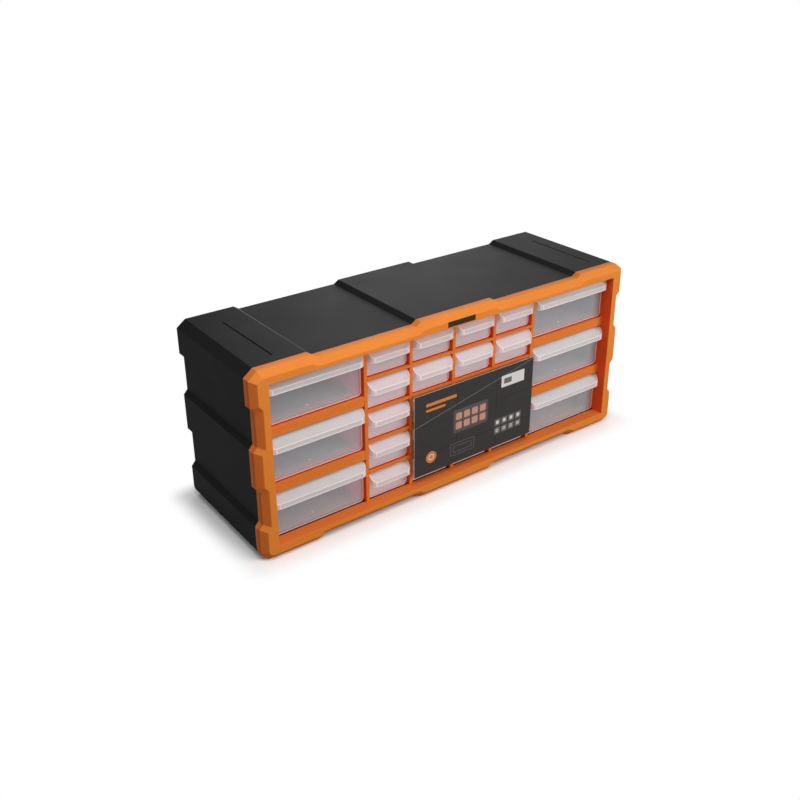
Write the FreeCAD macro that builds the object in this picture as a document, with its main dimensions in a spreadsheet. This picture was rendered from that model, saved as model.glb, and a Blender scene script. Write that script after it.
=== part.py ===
# Compartment organizer box: a moulded housing with a stepped outline, a front frame that sleeves over
# it, an egg-crate of uprights and shelves, six large and twenty small pull-out drawers, and a printed
# card that is cut at the joints into one piece per drawer it covers.
#
# Millimetres. X runs along the width, Y from the front to the back and Z up. Sketches are drawn from
# the front left bottom corner of the box, or of a drawer's cell, so that every coordinate is positive.
# Each body is then placed so that the origin is the bottom centre of the whole box.

import FreeCAD
import Part
import Sketcher
import os

# Driving dimensions: name, value, what it is
DRIVING = [
    ("width", 520, "overall width"),
    ("depth", 165, "overall depth"),
    ("height", 218, "overall height"),
    ("skin", 2.5, "wall of the housing and of the frame"),
    ("border_side", 19, "frame border beside the drawers"),
    ("border_top", 15, "frame border above the drawers"),
    ("border_bottom", 16, "frame border below the drawers"),
    ("corner_block", 70.8, "where a raised corner block of the top and bottom ends"),
    ("middle_block", 208.4, "where the raised middle block of the top and bottom starts"),
    ("top_step", 4.1, "height of the blocks over the recesses between them"),
    ("top_slope", 6.4, "run of the slope from block to recess"),
    ("band_top", 180.3, "lower end of the top band of the sides"),
    ("band_mid_high", 130.8, "upper end of the middle band of the sides"),
    ("band_mid_low", 88.4, "lower end of the middle band of the sides"),
    ("band_low", 39.6, "upper end of the bottom band of the sides"),
    ("side_step", 4.6, "height of the bands over the recesses between them"),
    ("side_slope", 5.2, "run of the slope from band to recess"),
    ("corner_run", 10.5, "width of the chamfer on a top corner"),
    ("corner_rise", 8.1, "height of the chamfer on a top corner"),
    ("foot_radius", 13.7, "radius of a bottom corner"),
    ("draft", 2.6, "how far each side leans in from the front to the back"),
    ("rim_depth", 15.5, "depth of the frame's outer band"),
    ("bevel_inset", 6.9, "width of the bevel round the frame's face"),
    ("bevel_depth", 6.2, "depth of the bevel round the frame's face"),
    ("channel_front", 9, "floor of the channel in the back of the frame"),
    ("collar_back", 33, "back end of the frame's collar round the drawers"),
    ("sleeve_back", 40, "back end of the collar's sleeve over the housing's inner wall"),
    ("sleeve_offset", 4.9, "outside of the sleeve, from the opening"),
    ("fit", 0.1, "clearance on each side of parts that slot together"),
    ("badge_left", 240.8, "left end of the badge plate"),
    ("badge_long", 38.5, "length of the badge plate"),
    ("badge_low", 204.6, "lower edge of the badge plate"),
    ("badge_high", 6.4, "height of the badge plate"),
    ("badge_thick", 0.8, "thickness of the badge plate"),
    ("slot_left", 40.8, "centre of the left slot in the top"),
    ("slot_right", 488, "centre of the right slot in the top"),
    ("slot_wide", 1.8, "width of a slot in the top"),
    ("slot_deep", 1.5, "depth of a slot in the top"),
    ("slot_front", 30, "front end of the slots in the top"),
    ("slot_back", 132, "back end of the slots in the top"),
    ("hanger_offset", 160, "wall-hanging holes, from the middle of the width"),
    ("hanger_height", 170, "wall-hanging holes, from the bottom"),
    ("hanger_radius", 2.75, "radius of a wall-hanging hole"),
    ("small_pitch", 60, "pitch of the small drawers across"),
    ("row_pitch", 38, "pitch of the small drawers up"),
    ("large_pitch", 66, "pitch of the large drawers up"),
    ("upright", 4.5, "thickness of an upright"),
    ("shelf", 3, "thickness of a small shelf"),
    ("large_shelf", 11, "height of a large shelf"),
    ("grid_front", 12.5, "front plane of the uprights and shelves"),
    ("grid_back", 162.2, "back plane of the uprights and shelves"),
    ("tongue", 1, "height of the tongues on uprights and shelves"),
    ("bead_front", 20, "front of the stop bead over a cell"),
    ("bead_deep", 2, "depth of the stop bead, front to back"),
    ("bead_high", 2, "how far the stop bead hangs into the cell"),
    ("bead_margin", 0.6, "gap from the stop bead to the cell's walls"),
    ("drawer_front", 17, "front wall of a drawer"),
    ("drawer_back", 161.7, "back wall of a drawer"),
    ("drawer_wall", 1.5, "wall of a drawer"),
    ("drawer_side_gap", 0.8, "gap from a drawer to the cell's walls"),
    ("drawer_floor_gap", 0.5, "gap from a drawer to the shelf below"),
    ("drawer_drop", 3, "drawer's side walls, below the cell's ceiling"),
    ("drawer_edge_radius", 4.5, "radius of a drawer's long lower edges"),
    ("tab_wide", 7, "width of a stop tab on the drawer's back wall"),
    ("tab_top_gap", 0.6, "gap from a stop tab to the cell's ceiling"),
    ("hood_front", 6, "front of the handle hood"),
    ("hood_top_gap", 1, "top of the hood, below the cell's ceiling"),
    ("hood_shoulder", 11, "front edge of the hood's slope, below the cell's ceiling"),
    ("hood_lip", 16.5, "bottom of the hood's lip, below the cell's ceiling"),
    ("hood_side_gap", 1, "gap from the hood to the cell's sides"),
    ("hood_corner_radius", 7, "radius of the hood's front corners in plan"),
    ("card_left", 199, "left edge of the printed card"),
    ("card_right", 377, "right edge of the printed card"),
    ("card_low", 27.4, "lower edge of the printed card"),
    ("card_high", 130.2, "upper edge of the printed card, just below the fourth row's drawers"),
    ("card_thick", 1, "thickness of the printed card"),
    ("card_gap", 0.3, "gap between two pieces of the card"),
]

SMALL_COLUMNS = 4
SMALL_ROWS = 5
LARGE_ROWS = ("bottom", "middle", "top")
CARD_COLUMNS = (2, 3, 4)
CARD_ROWS = (1, 2, 3)

# Places worked out from the driving dimensions
OPENING_LEFT = "sizes.border_side"
OPENING_RIGHT = "sizes.width - sizes.border_side"
OPENING_LOW = "sizes.border_bottom"
OPENING_HIGH = "sizes.height - sizes.border_top"
BACK_WALL_FRONT = "sizes.depth - sizes.skin"
TUBE_FRONT = "sizes.collar_back + sizes.fit"
TONGUE_FRONT = "sizes.collar_back + 6 * sizes.fit"
LAP = "(sizes.grid_front + sizes.grid_back) / 2"
BEYOND = "2 * sizes.skin"

document = FreeCAD.newDocument("organizer_box")
sizes = document.addObject("Spreadsheet::Sheet", "sizes")
for number, (alias, millimetres, meaning) in enumerate(DRIVING, start=1):
    sizes.set("A%d" % number, meaning)
    sizes.set("B%d" % number, str(millimetres))
    sizes.setAlias("B%d" % number, alias)
document.recompute()


def value(text):
    """The number that a text of dimensions comes to."""
    return float(sizes.evalExpression(text))


def same(first, second):
    return abs(first - second) < 1e-4


# Sketches

def make_sketch(body, name, plane, distance=None):
    """A sketch on one of the body's own origin planes, moved along the plane's normal."""
    sketch = body.newObject("Sketcher::SketchObject", name)
    support = [item for item in body.Origin.OriginFeatures if item.Role == plane][0]
    sketch.AttachmentSupport = (support, [""])
    sketch.MapMode = "FlatFace"
    if distance is not None:
        sketch.setExpression("AttachmentOffset.Base.z", distance)
    return sketch


def front_sketch(body, name, distance):
    """A sketch seen from the front: X across and Z up, at a distance behind the front plane."""
    return make_sketch(body, name, "XZ_Plane", "-(%s)" % distance)


def side_sketch(body, name, distance):
    """A sketch seen from the right: Y across and Z up."""
    return make_sketch(body, name, "YZ_Plane", distance)


def plan_sketch(body, name, distance):
    """A sketch seen from above: X across and Y up."""
    return make_sketch(body, name, "XY_Plane", distance)


def bind_point(sketch, line, point):
    """Ties the start of a line to a point given as two texts."""
    for kind, axis, text in (("DistanceX", -2, point[0]), ("DistanceY", -1, point[1])):
        if text == "0":
            sketch.addConstraint(Sketcher.Constraint("PointOnObject", line, 1, axis))
        else:
            index = sketch.addConstraint(Sketcher.Constraint(kind, -1, 1, line, 1, value(text)))
            sketch.setExpression("Constraints[%d]" % index, text)


def add_outline(sketch, points, radius=None):
    """A closed outline. The side between two points marked round is an arc of the given radius."""
    first = sketch.GeometryCount
    count = len(points)
    arcs = []
    for step, point in enumerate(points):
        following = points[(step + 1) % count]
        start = FreeCAD.Vector(value(point[0]), value(point[1]), 0)
        end = FreeCAD.Vector(value(following[0]), value(following[1]), 0)
        if len(point) > 2 and len(following) > 2:
            arcs.append(first + step)
            chord = end - start
            bulge = FreeCAD.Vector(chord.y, -chord.x, 0) * ((2 ** 0.5 - 1) / 2)
            middle = (start + end) / 2 + bulge
            sketch.addGeometry(Part.Arc(start, middle, end), False)
        else:
            sketch.addGeometry(Part.LineSegment(start, end), False)
    for step in range(count):
        following = first + (step + 1) % count
        sketch.addConstraint(Sketcher.Constraint("Coincident", first + step, 2, following, 1))
    for step, point in enumerate(points):
        bind_point(sketch, first + step, point)
    for arc in arcs:
        index = sketch.addConstraint(Sketcher.Constraint("Radius", arc, value(radius)))
        sketch.setExpression("Constraints[%d]" % index, radius)


def add_rectangle(sketch, left, low, right, high):
    add_outline(sketch, [(left, low), (right, low), (right, high), (left, high)])


# Features

def make_body(label):
    body = document.addObject("PartDesign::Body", label)
    body.Label = label
    return body


def place_body(body, across="0", up="0"):
    body.setExpression("Placement.Base.x", "%s - sizes.width / 2" % across)
    body.setExpression("Placement.Base.y", "-sizes.depth / 2")
    body.setExpression("Placement.Base.z", "%s * 1" % up)


def extrude(body, sketch, kind, length, backwards):
    feature = body.newObject(kind, sketch.Name + "_solid")
    feature.Profile = sketch
    feature.setExpression("Length", length)
    feature.Reversed = backwards
    return feature


def pad_front(body, sketch, length):
    """Adds from a front sketch towards the back."""
    return extrude(body, sketch, "PartDesign::Pad", length, True)


def cut_front(body, sketch, length):
    """Cuts from a front sketch towards the back."""
    return extrude(body, sketch, "PartDesign::Pocket", length, False)


def pad_along(body, sketch, length):
    """Adds from a side or plan sketch towards the right or up."""
    return extrude(body, sketch, "PartDesign::Pad", length, False)


def cut_down(body, sketch, length):
    """Cuts from a plan sketch downwards."""
    return extrude(body, sketch, "PartDesign::Pocket", length, False)


def loft(body, kind, name, first, second):
    feature = body.newObject(kind, name)
    feature.Profile = first
    feature.Sections = [second]
    feature.Ruled = True
    return feature


def round_edges(body, base, name, radius, choose):
    """Rounds the base feature's edges whose two ends pass the test."""
    document.recompute()
    chosen = []
    for number, edge in enumerate(base.Shape.Edges, start=1):
        if choose(edge.Vertexes[0].Point, edge.Vertexes[-1].Point):
            chosen.append("Edge%d" % number)
    feature = body.newObject("PartDesign::Fillet", name)
    feature.Base = (base, chosen)
    feature.setExpression("Radius", radius)
    document.recompute()
    return feature


# The stepped front view, shared by the housing and the frame

def mirrored(points):
    return [("sizes.width - (%s)" % point[0],) + point[1:] for point in points]


def stepped_outline(inset, lean="0"):
    """The outline moved in by the inset, with its sides moved in by the lean as well.

    The left half runs from the bottom centre up the left side to the top centre. The slopes and
    corners keep their angle, so each of their points also slides along its edge by a share of the
    inset: the tangent of half the angle that the outline turns through there.
    """
    slide_top = "(%s) * tan(atan(sizes.top_step / sizes.top_slope) / 2)" % inset
    slide_side = "(%s) * tan(atan(sizes.side_step / sizes.side_slope) / 2)" % inset
    slide_run = "(%s) * tan(atan(sizes.corner_rise / sizes.corner_run) / 2)" % inset
    slide_rise = "(%s) * tan(atan(sizes.corner_run / sizes.corner_rise) / 2)" % inset
    side = "%s + %s" % (inset, lean)
    recess = "%s + sizes.side_step" % side
    floor = inset
    raised_floor = "%s + sizes.top_step" % inset
    roof = "sizes.height - (%s)" % inset
    lowered_roof = "sizes.height - sizes.top_step - (%s)" % inset
    middle = "sizes.middle_block + %s" % slide_top
    beside_middle = "sizes.middle_block - sizes.top_slope + %s" % slide_top
    beside_corner = "sizes.corner_block + sizes.top_slope - %s" % slide_top
    corner = "sizes.corner_block - %s" % slide_top
    left = [
        (middle, floor),
        (beside_middle, raised_floor),
        (beside_corner, raised_floor),
        (corner, floor),
        ("sizes.foot_radius + %s" % lean, floor, "round"),
        (side, "sizes.foot_radius", "round"),
        (side, "sizes.band_low - %s" % slide_side),
        (recess, "sizes.band_low + sizes.side_slope - %s" % slide_side),
        (recess, "sizes.band_mid_low - sizes.side_slope + %s" % slide_side),
        (side, "sizes.band_mid_low + %s" % slide_side),
        (side, "sizes.band_mid_high - %s" % slide_side),
        (recess, "sizes.band_mid_high + sizes.side_slope - %s" % slide_side),
        (recess, "sizes.band_top - sizes.side_slope + %s" % slide_side),
        (side, "sizes.band_top + %s" % slide_side),
        (side, "sizes.height - sizes.corner_rise - %s" % slide_rise),
        ("sizes.corner_run + %s + %s" % (lean, slide_run), roof),
        (corner, roof),
        (beside_corner, lowered_roof),
        (beside_middle, lowered_roof),
        (middle, roof),
    ]
    return mirrored(left) + left[::-1]


def add_stepped(sketch, inset, lean="0"):
    add_outline(sketch, stepped_outline(inset, lean), "sizes.foot_radius - (%s)" % inset)


def add_opening(sketch, offset):
    """The rectangle of the drawers' opening, grown by the offset."""
    left = "%s - (%s)" % (OPENING_LEFT, offset)
    right = "%s + %s" % (OPENING_RIGHT, offset)
    low = "%s - (%s)" % (OPENING_LOW, offset)
    high = "%s + %s" % (OPENING_HIGH, offset)
    add_rectangle(sketch, left, low, right, high)


# Lines of the grid of cells, as texts

def upright_centre(number):
    """Uprights count from 0 at the left of the small drawers."""
    return "(sizes.width / 2 + (%d) * sizes.small_pitch)" % (number - SMALL_COLUMNS // 2)


def small_cell(column, row):
    """Left, floor, width and height of a small drawer's cell. Rows count from 0 at the bottom."""
    left = "%s + sizes.upright / 2" % upright_centre(column)
    floor = "%s + %d * sizes.row_pitch" % (OPENING_LOW, row)
    return left, floor, "(sizes.small_pitch - sizes.upright)", "(sizes.row_pitch - sizes.shelf)"


def large_cell(side, row):
    """The same for a large drawer's cell, on the left or the right."""
    wide = "(%s - sizes.upright / 2 - sizes.border_side)" % upright_centre(0)
    left = OPENING_LEFT if side == "left" else "%s - %s" % (OPENING_RIGHT, wide)
    floor = "%s + %d * sizes.large_pitch" % (OPENING_LOW, row)
    return left, floor, wide, "(sizes.large_pitch - sizes.large_shelf)"


def shelf_low(row):
    """Underside of the small shelf above a row."""
    return "%s + %d * sizes.row_pitch - sizes.shelf" % (OPENING_LOW, row + 1)


def large_shelf_low(row):
    return "%s + %d * sizes.large_pitch - sizes.large_shelf" % (OPENING_LOW, row + 1)


def add_beads(sketch, cells):
    """The stop bead under the ceiling of each cell, as a front view."""
    for left, floor, wide, high in cells:
        start = "%s + sizes.bead_margin" % left
        end = "%s + %s - sizes.bead_margin" % (left, wide)
        ceiling = "%s + %s" % (floor, high)
        add_rectangle(sketch, start, "%s - sizes.bead_high" % ceiling, end, ceiling)


# Housing: one moulding with a stepped skin, a back wall and an inner wall round the drawers

def make_housing():
    body = make_body("housing_shell")
    front = front_sketch(body, "skin_front", "sizes.rim_depth")
    add_stepped(front, "0")
    back = front_sketch(body, "skin_back", "sizes.depth")
    add_stepped(back, "0", "sizes.draft")
    loft(body, "PartDesign::AdditiveLoft", "skin_outside", front, back)
    hollow_front = front_sketch(body, "hollow_front", "sizes.rim_depth")
    add_stepped(hollow_front, "sizes.skin")
    hollow_back = front_sketch(body, "hollow_back", BACK_WALL_FRONT)
    add_stepped(hollow_back, "sizes.skin", "sizes.draft")
    loft(body, "PartDesign::SubtractiveLoft", "skin_inside", hollow_front, hollow_back)
    inner_wall = front_sketch(body, "inner_wall", TUBE_FRONT)
    add_opening(inner_wall, "sizes.skin")
    add_opening(inner_wall, "0")
    pad_front(body, inner_wall, "sizes.depth - sizes.skin / 2 - (%s)" % TUBE_FRONT)
    grooves = front_sketch(body, "grooves", TUBE_FRONT)
    add_wall_grooves(grooves)
    cut_front(body, grooves, "%s - (%s)" % (BACK_WALL_FRONT, TUBE_FRONT))
    slots = plan_sketch(body, "top_slots", "sizes.height")
    for centre in ("sizes.slot_left", "sizes.slot_right"):
        left = "%s - sizes.slot_wide / 2" % centre
        right = "%s + sizes.slot_wide / 2" % centre
        add_rectangle(slots, left, "sizes.slot_front", right, "sizes.slot_back")
    cut_down(body, slots, "sizes.slot_deep")
    add_hanger_holes(body)
    place_body(body)
    return body


def add_wall_grooves(sketch):
    """Grooves in the inner wall that take the tongues of the uprights and the large shelves."""
    depth = "sizes.tongue + sizes.fit"
    for number in range(SMALL_COLUMNS + 1):
        left = "%s - sizes.upright / 2 - sizes.fit" % upright_centre(number)
        right = "%s + sizes.upright / 2 + sizes.fit" % upright_centre(number)
        add_rectangle(sketch, left, "%s - (%s)" % (OPENING_LOW, depth), right, OPENING_LOW)
        add_rectangle(sketch, left, OPENING_HIGH, right, "%s + %s" % (OPENING_HIGH, depth))
    for row in range(len(LARGE_ROWS) - 1):
        low = "%s - sizes.fit" % large_shelf_low(row)
        high = "%s + sizes.large_shelf + sizes.fit" % large_shelf_low(row)
        add_rectangle(sketch, "%s - (%s)" % (OPENING_LEFT, depth), low, OPENING_LEFT, high)
        add_rectangle(sketch, OPENING_RIGHT, low, "%s + %s" % (OPENING_RIGHT, depth), high)


def add_hanger_holes(body):
    """Two round holes through the back wall, to hang the box on a wall."""
    sketch = front_sketch(body, "hanger_holes", "%s - sizes.fit" % BACK_WALL_FRONT)
    for sign in ("-", "+"):
        across = "sizes.width / 2 %s sizes.hanger_offset" % sign
        centre = FreeCAD.Vector(value(across), value("sizes.hanger_height"), 0)
        radius = value("sizes.hanger_radius")
        circle = sketch.addGeometry(Part.Circle(centre, FreeCAD.Vector(0, 0, 1), radius), False)
        for kind, size in (("DistanceX", across), ("DistanceY", "sizes.hanger_height")):
            rule = Sketcher.Constraint(kind, -1, 1, circle, 3, value(size))
            index = sketch.addConstraint(rule)
            sketch.setExpression("Constraints[%d]" % index, size)
        index = sketch.addConstraint(Sketcher.Constraint("Radius", circle, radius))
        sketch.setExpression("Constraints[%d]" % index, "sizes.hanger_radius")
    cut_front(body, sketch, BEYOND)


# Front frame: a bevelled ring with a channel behind it and a collar that sleeves over the inner wall

def make_frame():
    body = make_body("front_frame")
    face = front_sketch(body, "face", "0 * sizes.skin")
    add_stepped(face, "sizes.bevel_inset")
    shoulder = front_sketch(body, "shoulder", "sizes.bevel_depth")
    add_stepped(shoulder, "0")
    loft(body, "PartDesign::AdditiveLoft", "bevel", face, shoulder)
    band = front_sketch(body, "band", "sizes.bevel_depth")
    add_stepped(band, "0")
    pad_front(body, band, "sizes.rim_depth - sizes.bevel_depth")
    channel = front_sketch(body, "channel", "sizes.channel_front")
    add_stepped(channel, "sizes.skin")
    cut_front(body, channel, BEYOND + " + sizes.rim_depth")
    collar = front_sketch(body, "collar", "sizes.channel_front")
    add_opening(collar, "sizes.sleeve_offset")
    pad_front(body, collar, "sizes.sleeve_back - sizes.channel_front")
    rebate = front_sketch(body, "rebate", "sizes.collar_back")
    add_opening(rebate, "sizes.skin + sizes.fit")
    cut_front(body, rebate, BEYOND + " + sizes.sleeve_back")
    opening = front_sketch(body, "opening", "0 * sizes.skin")
    add_opening(opening, "0")
    cut_front(body, opening, "sizes.depth")
    beads = front_sketch(body, "beads", "sizes.bead_front")
    top_row = [small_cell(column, SMALL_ROWS - 1) for column in range(SMALL_COLUMNS)]
    top_row += [large_cell(side, len(LARGE_ROWS) - 1) for side in ("left", "right")]
    add_beads(beads, top_row)
    pad_front(body, beads, "sizes.bead_deep")
    badge_seat = front_sketch(body, "badge_seat", "0 * sizes.skin")
    add_badge(badge_seat, "sizes.fit")
    cut_front(body, badge_seat, "sizes.badge_thick")
    place_body(body)
    return body


def add_badge(sketch, gap):
    right = "sizes.badge_left + sizes.badge_long + %s" % gap
    high = "sizes.badge_low + sizes.badge_high + %s" % gap
    add_rectangle(sketch, "sizes.badge_left - %s" % gap, "sizes.badge_low - %s" % gap, right, high)


def make_badge():
    body = make_body("badge_plate")
    outline = front_sketch(body, "badge_outline", "0 * sizes.skin")
    add_badge(outline, "0")
    pad_front(body, outline, "sizes.badge_thick")
    place_body(body)
    return body


# Uprights: panels on edge. The three inner ones are notched from the front for the small shelves.

def make_upright(number):
    body = make_body("upright_%d" % (number + 1))
    side = side_sketch(body, "panel_%d" % number, "%s - sizes.upright / 2" % upright_centre(number))
    low_tongue = "%s - sizes.tongue" % OPENING_LOW
    high_tongue = "%s + sizes.tongue" % OPENING_HIGH
    points = [
        ("sizes.grid_front", OPENING_LOW),
        (TONGUE_FRONT, OPENING_LOW),
        (TONGUE_FRONT, low_tongue),
        ("sizes.grid_back", low_tongue),
        ("sizes.grid_back", high_tongue),
        (TONGUE_FRONT, high_tongue),
        (TONGUE_FRONT, OPENING_HIGH),
        ("sizes.grid_front", OPENING_HIGH),
    ]
    inner = 0 < number < SMALL_COLUMNS
    if inner:
        for row in reversed(range(SMALL_ROWS - 1)):
            low = "%s - sizes.fit" % shelf_low(row)
            high = "%s + sizes.shelf + sizes.fit" % shelf_low(row)
            points += [("sizes.grid_front", high), (LAP, high), (LAP, low), ("sizes.grid_front", low)]
    add_outline(side, points)
    pad_along(body, side, "sizes.upright")
    if not inner:
        grooves = front_sketch(body, "grooves_%d" % number, "sizes.collar_back")
        add_upright_grooves(grooves, number)
        cut_front(body, grooves, "sizes.depth")
    place_body(body)
    return body


def add_upright_grooves(sketch, number):
    """Grooves in an outer upright: small shelves on its inner face, large ones on its outer face."""
    centre = upright_centre(number)
    faces = ["%s - sizes.upright / 2" % centre, "%s + sizes.upright / 2" % centre]
    depth = "sizes.tongue + sizes.fit"
    small = [(shelf_low(row), "sizes.shelf") for row in range(SMALL_ROWS - 1)]
    large = [(large_shelf_low(row), "sizes.large_shelf") for row in range(len(LARGE_ROWS) - 1)]
    at_left, at_right = (large, small) if number == 0 else (small, large)
    for low, high in at_left:
        add_rectangle(sketch, faces[0], "%s - sizes.fit" % low,
                      "%s + %s" % (faces[0], depth), "%s + %s + sizes.fit" % (low, high))
    for low, high in at_right:
        add_rectangle(sketch, "%s - (%s)" % (faces[1], depth), "%s - sizes.fit" % low,
                      faces[1], "%s + %s + sizes.fit" % (low, high))


# Shelves: the small ones lap the three inner uprights, the large ones are box sections open behind

def make_small_shelf(row):
    body = make_body("small_shelf_%d" % (row + 1))
    plan = plan_sketch(body, "plan_%d" % row, shelf_low(row))
    left = "%s + sizes.upright / 2" % upright_centre(0)
    right = "%s - sizes.upright / 2" % upright_centre(SMALL_COLUMNS)
    points = [
        (left, "sizes.grid_front"),
        (right, "sizes.grid_front"),
        (right, TONGUE_FRONT),
        ("%s + sizes.tongue" % right, TONGUE_FRONT),
        ("%s + sizes.tongue" % right, "sizes.grid_back"),
    ]
    for number in reversed(range(1, SMALL_COLUMNS)):
        slot_left = "%s - sizes.upright / 2 - sizes.fit" % upright_centre(number)
        slot_right = "%s + sizes.upright / 2 + sizes.fit" % upright_centre(number)
        points += [(slot_right, "sizes.grid_back"), (slot_right, LAP)]
        points += [(slot_left, LAP), (slot_left, "sizes.grid_back")]
    points += [
        ("%s - sizes.tongue" % left, "sizes.grid_back"),
        ("%s - sizes.tongue" % left, TONGUE_FRONT),
        (left, TONGUE_FRONT),
    ]
    add_outline(plan, points)
    pad_along(body, plan, "sizes.shelf")
    beads = front_sketch(body, "beads_%d" % row, "sizes.bead_front")
    add_beads(beads, [small_cell(column, row) for column in range(SMALL_COLUMNS)])
    pad_front(body, beads, "sizes.bead_deep")
    place_body(body)
    return body


def make_large_shelf(side, row):
    body = make_body("large_shelf_%s_%d" % (side, row + 1))
    plan = plan_sketch(body, "plan_%s_%d" % (side, row), large_shelf_low(row))
    left, floor, wide, high = large_cell(side, row)
    right = "%s + %s" % (left, wide)
    points = [
        (left, "sizes.grid_front"),
        (right, "sizes.grid_front"),
        (right, TONGUE_FRONT),
        ("%s + sizes.tongue" % right, TONGUE_FRONT),
        ("%s + sizes.tongue" % right, "sizes.grid_back"),
        ("%s - sizes.tongue" % left, "sizes.grid_back"),
        ("%s - sizes.tongue" % left, TONGUE_FRONT),
        (left, TONGUE_FRONT),
    ]
    add_outline(plan, points)
    pad_along(body, plan, "sizes.large_shelf")
    hollow = front_sketch(body, "hollow_%s_%d" % (side, row), "sizes.grid_front + sizes.skin")
    low = "%s + sizes.skin" % large_shelf_low(row)
    top = "%s + sizes.large_shelf - sizes.skin" % large_shelf_low(row)
    add_rectangle(hollow, "%s + sizes.skin" % left, low, "%s - sizes.skin" % right, top)
    cut_front(body, hollow, "sizes.depth")
    beads = front_sketch(body, "beads_%s_%d" % (side, row), "sizes.bead_front")
    add_beads(beads, [large_cell(side, row)])
    pad_front(body, beads, "sizes.bead_deep")
    place_body(body)
    return body


# Drawers: a tub with rounded long lower edges and a hollow handle hood across the top of its front

def make_drawer(label, cell):
    """Drawn from the front left bottom corner of its cell, then placed at the cell."""
    left, floor, wide, high = cell
    body = make_body(label)
    hood = add_hood(body, label, wide, high)
    tub_left = "sizes.drawer_side_gap"
    tub_right = "%s - sizes.drawer_side_gap" % wide
    tub_low = "sizes.drawer_floor_gap"
    tub_high = "%s - sizes.drawer_drop" % high
    tub = front_sketch(body, label + "_tub", "sizes.drawer_front")
    add_rectangle(tub, tub_left, tub_low, tub_right, tub_high)
    solid = pad_front(body, tub, "sizes.drawer_back - sizes.drawer_front")

    def long_lower_edge(height):
        level = value(height)
        return lambda a, b: same(a.x, b.x) and same(a.z, level) and same(b.z, level) and abs(a.y - b.y) > 1

    rounded = round_edges(body, solid, label + "_outer_rounds", "sizes.drawer_edge_radius",
                          long_lower_edge(tub_low))
    hollow = front_sketch(body, label + "_hollow", "sizes.drawer_front + sizes.drawer_wall")
    add_rectangle(hollow, "%s + sizes.drawer_wall" % tub_left, "%s + sizes.drawer_wall" % tub_low,
                  "%s - sizes.drawer_wall" % tub_right, "%s + sizes.skin" % high)
    opened = cut_front(body, hollow, "sizes.drawer_back - sizes.drawer_front - 2 * sizes.drawer_wall")
    rounded = round_edges(body, opened, label + "_inner_rounds",
                          "sizes.drawer_edge_radius - sizes.drawer_wall",
                          long_lower_edge("%s + sizes.drawer_wall" % tub_low))
    wall_top = front_sketch(body, label + "_wall_top", "sizes.drawer_front")
    add_rectangle(wall_top, tub_left, "%s - sizes.skin" % tub_high, tub_right,
                  "%s - sizes.hood_top_gap" % high)
    pad_front(body, wall_top, "sizes.drawer_wall")
    tabs = front_sketch(body, label + "_tabs", "sizes.drawer_back - sizes.drawer_wall")
    for start in ("2 * sizes.tab_wide", "%s - 3 * sizes.tab_wide" % wide):
        add_rectangle(tabs, start, "%s - sizes.skin" % tub_high, "%s + sizes.tab_wide" % start,
                      "%s - sizes.tab_top_gap" % high)
    pad_front(body, tabs, "sizes.drawer_wall")
    place_body(body, left, floor)
    return body


def add_hood(body, label, wide, high):
    """The handle: a sloped cover with a lip and two cheeks, open below and towards the drawer."""
    hood_bottom = "%s - sizes.hood_lip" % high
    profile = side_sketch(body, label + "_hood", "sizes.hood_side_gap")
    add_outline(profile, [
        ("sizes.drawer_front", hood_bottom),
        ("sizes.drawer_front", "%s - sizes.hood_top_gap" % high),
        ("sizes.hood_front", "%s - sizes.hood_shoulder" % high),
        ("sizes.hood_front", hood_bottom),
    ])
    block = pad_along(body, profile, "%s - 2 * sizes.hood_side_gap" % wide)
    front = value("sizes.hood_front")
    block = round_edges(body, block, label + "_hood_rounds", "sizes.hood_corner_radius",
                        lambda a, b: same(a.x, b.x) and same(a.y, front) and same(b.y, front))
    low = value(hood_bottom)
    back = value("sizes.drawer_front")
    removed = []
    for number, face in enumerate(block.Shape.Faces, start=1):
        box = face.BoundBox
        if same(box.ZMax, low) or same(box.YMin, back):
            removed.append("Face%d" % number)
    shell = body.newObject("PartDesign::Thickness", label + "_hood_shell")
    shell.Base = (block, removed)
    shell.setExpression("Value", "sizes.drawer_wall")
    shell.Reversed = True
    shell.Join = 1
    return shell


# Printed card: one piece on the hood of each drawer it covers, so each drawer still opens by itself

def make_card_piece(column, row):
    """Cut midway over the uprights and shelves between two drawers. Both count from 1."""
    body = make_body("card_column%d_row%d" % (column, row))
    left = "sizes.card_left"
    if column > CARD_COLUMNS[0]:
        left = "%s + sizes.card_gap / 2" % upright_centre(column - 1)
    right = "sizes.card_right"
    if column < CARD_COLUMNS[-1]:
        right = "%s - sizes.card_gap / 2" % upright_centre(column)
    low = "sizes.card_low"
    if row > CARD_ROWS[0]:
        low = "%s + sizes.shelf / 2 + sizes.card_gap / 2" % shelf_low(row - 2)
    high = "sizes.card_high"
    if row < CARD_ROWS[-1]:
        high = "%s + sizes.shelf / 2 - sizes.card_gap / 2" % shelf_low(row - 1)
    outline = front_sketch(body, "card_%d_%d" % (column, row), "sizes.hood_front - sizes.card_thick")
    add_rectangle(outline, left, low, right, high)
    pad_front(body, outline, "sizes.card_thick")
    place_body(body)
    return body


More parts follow.
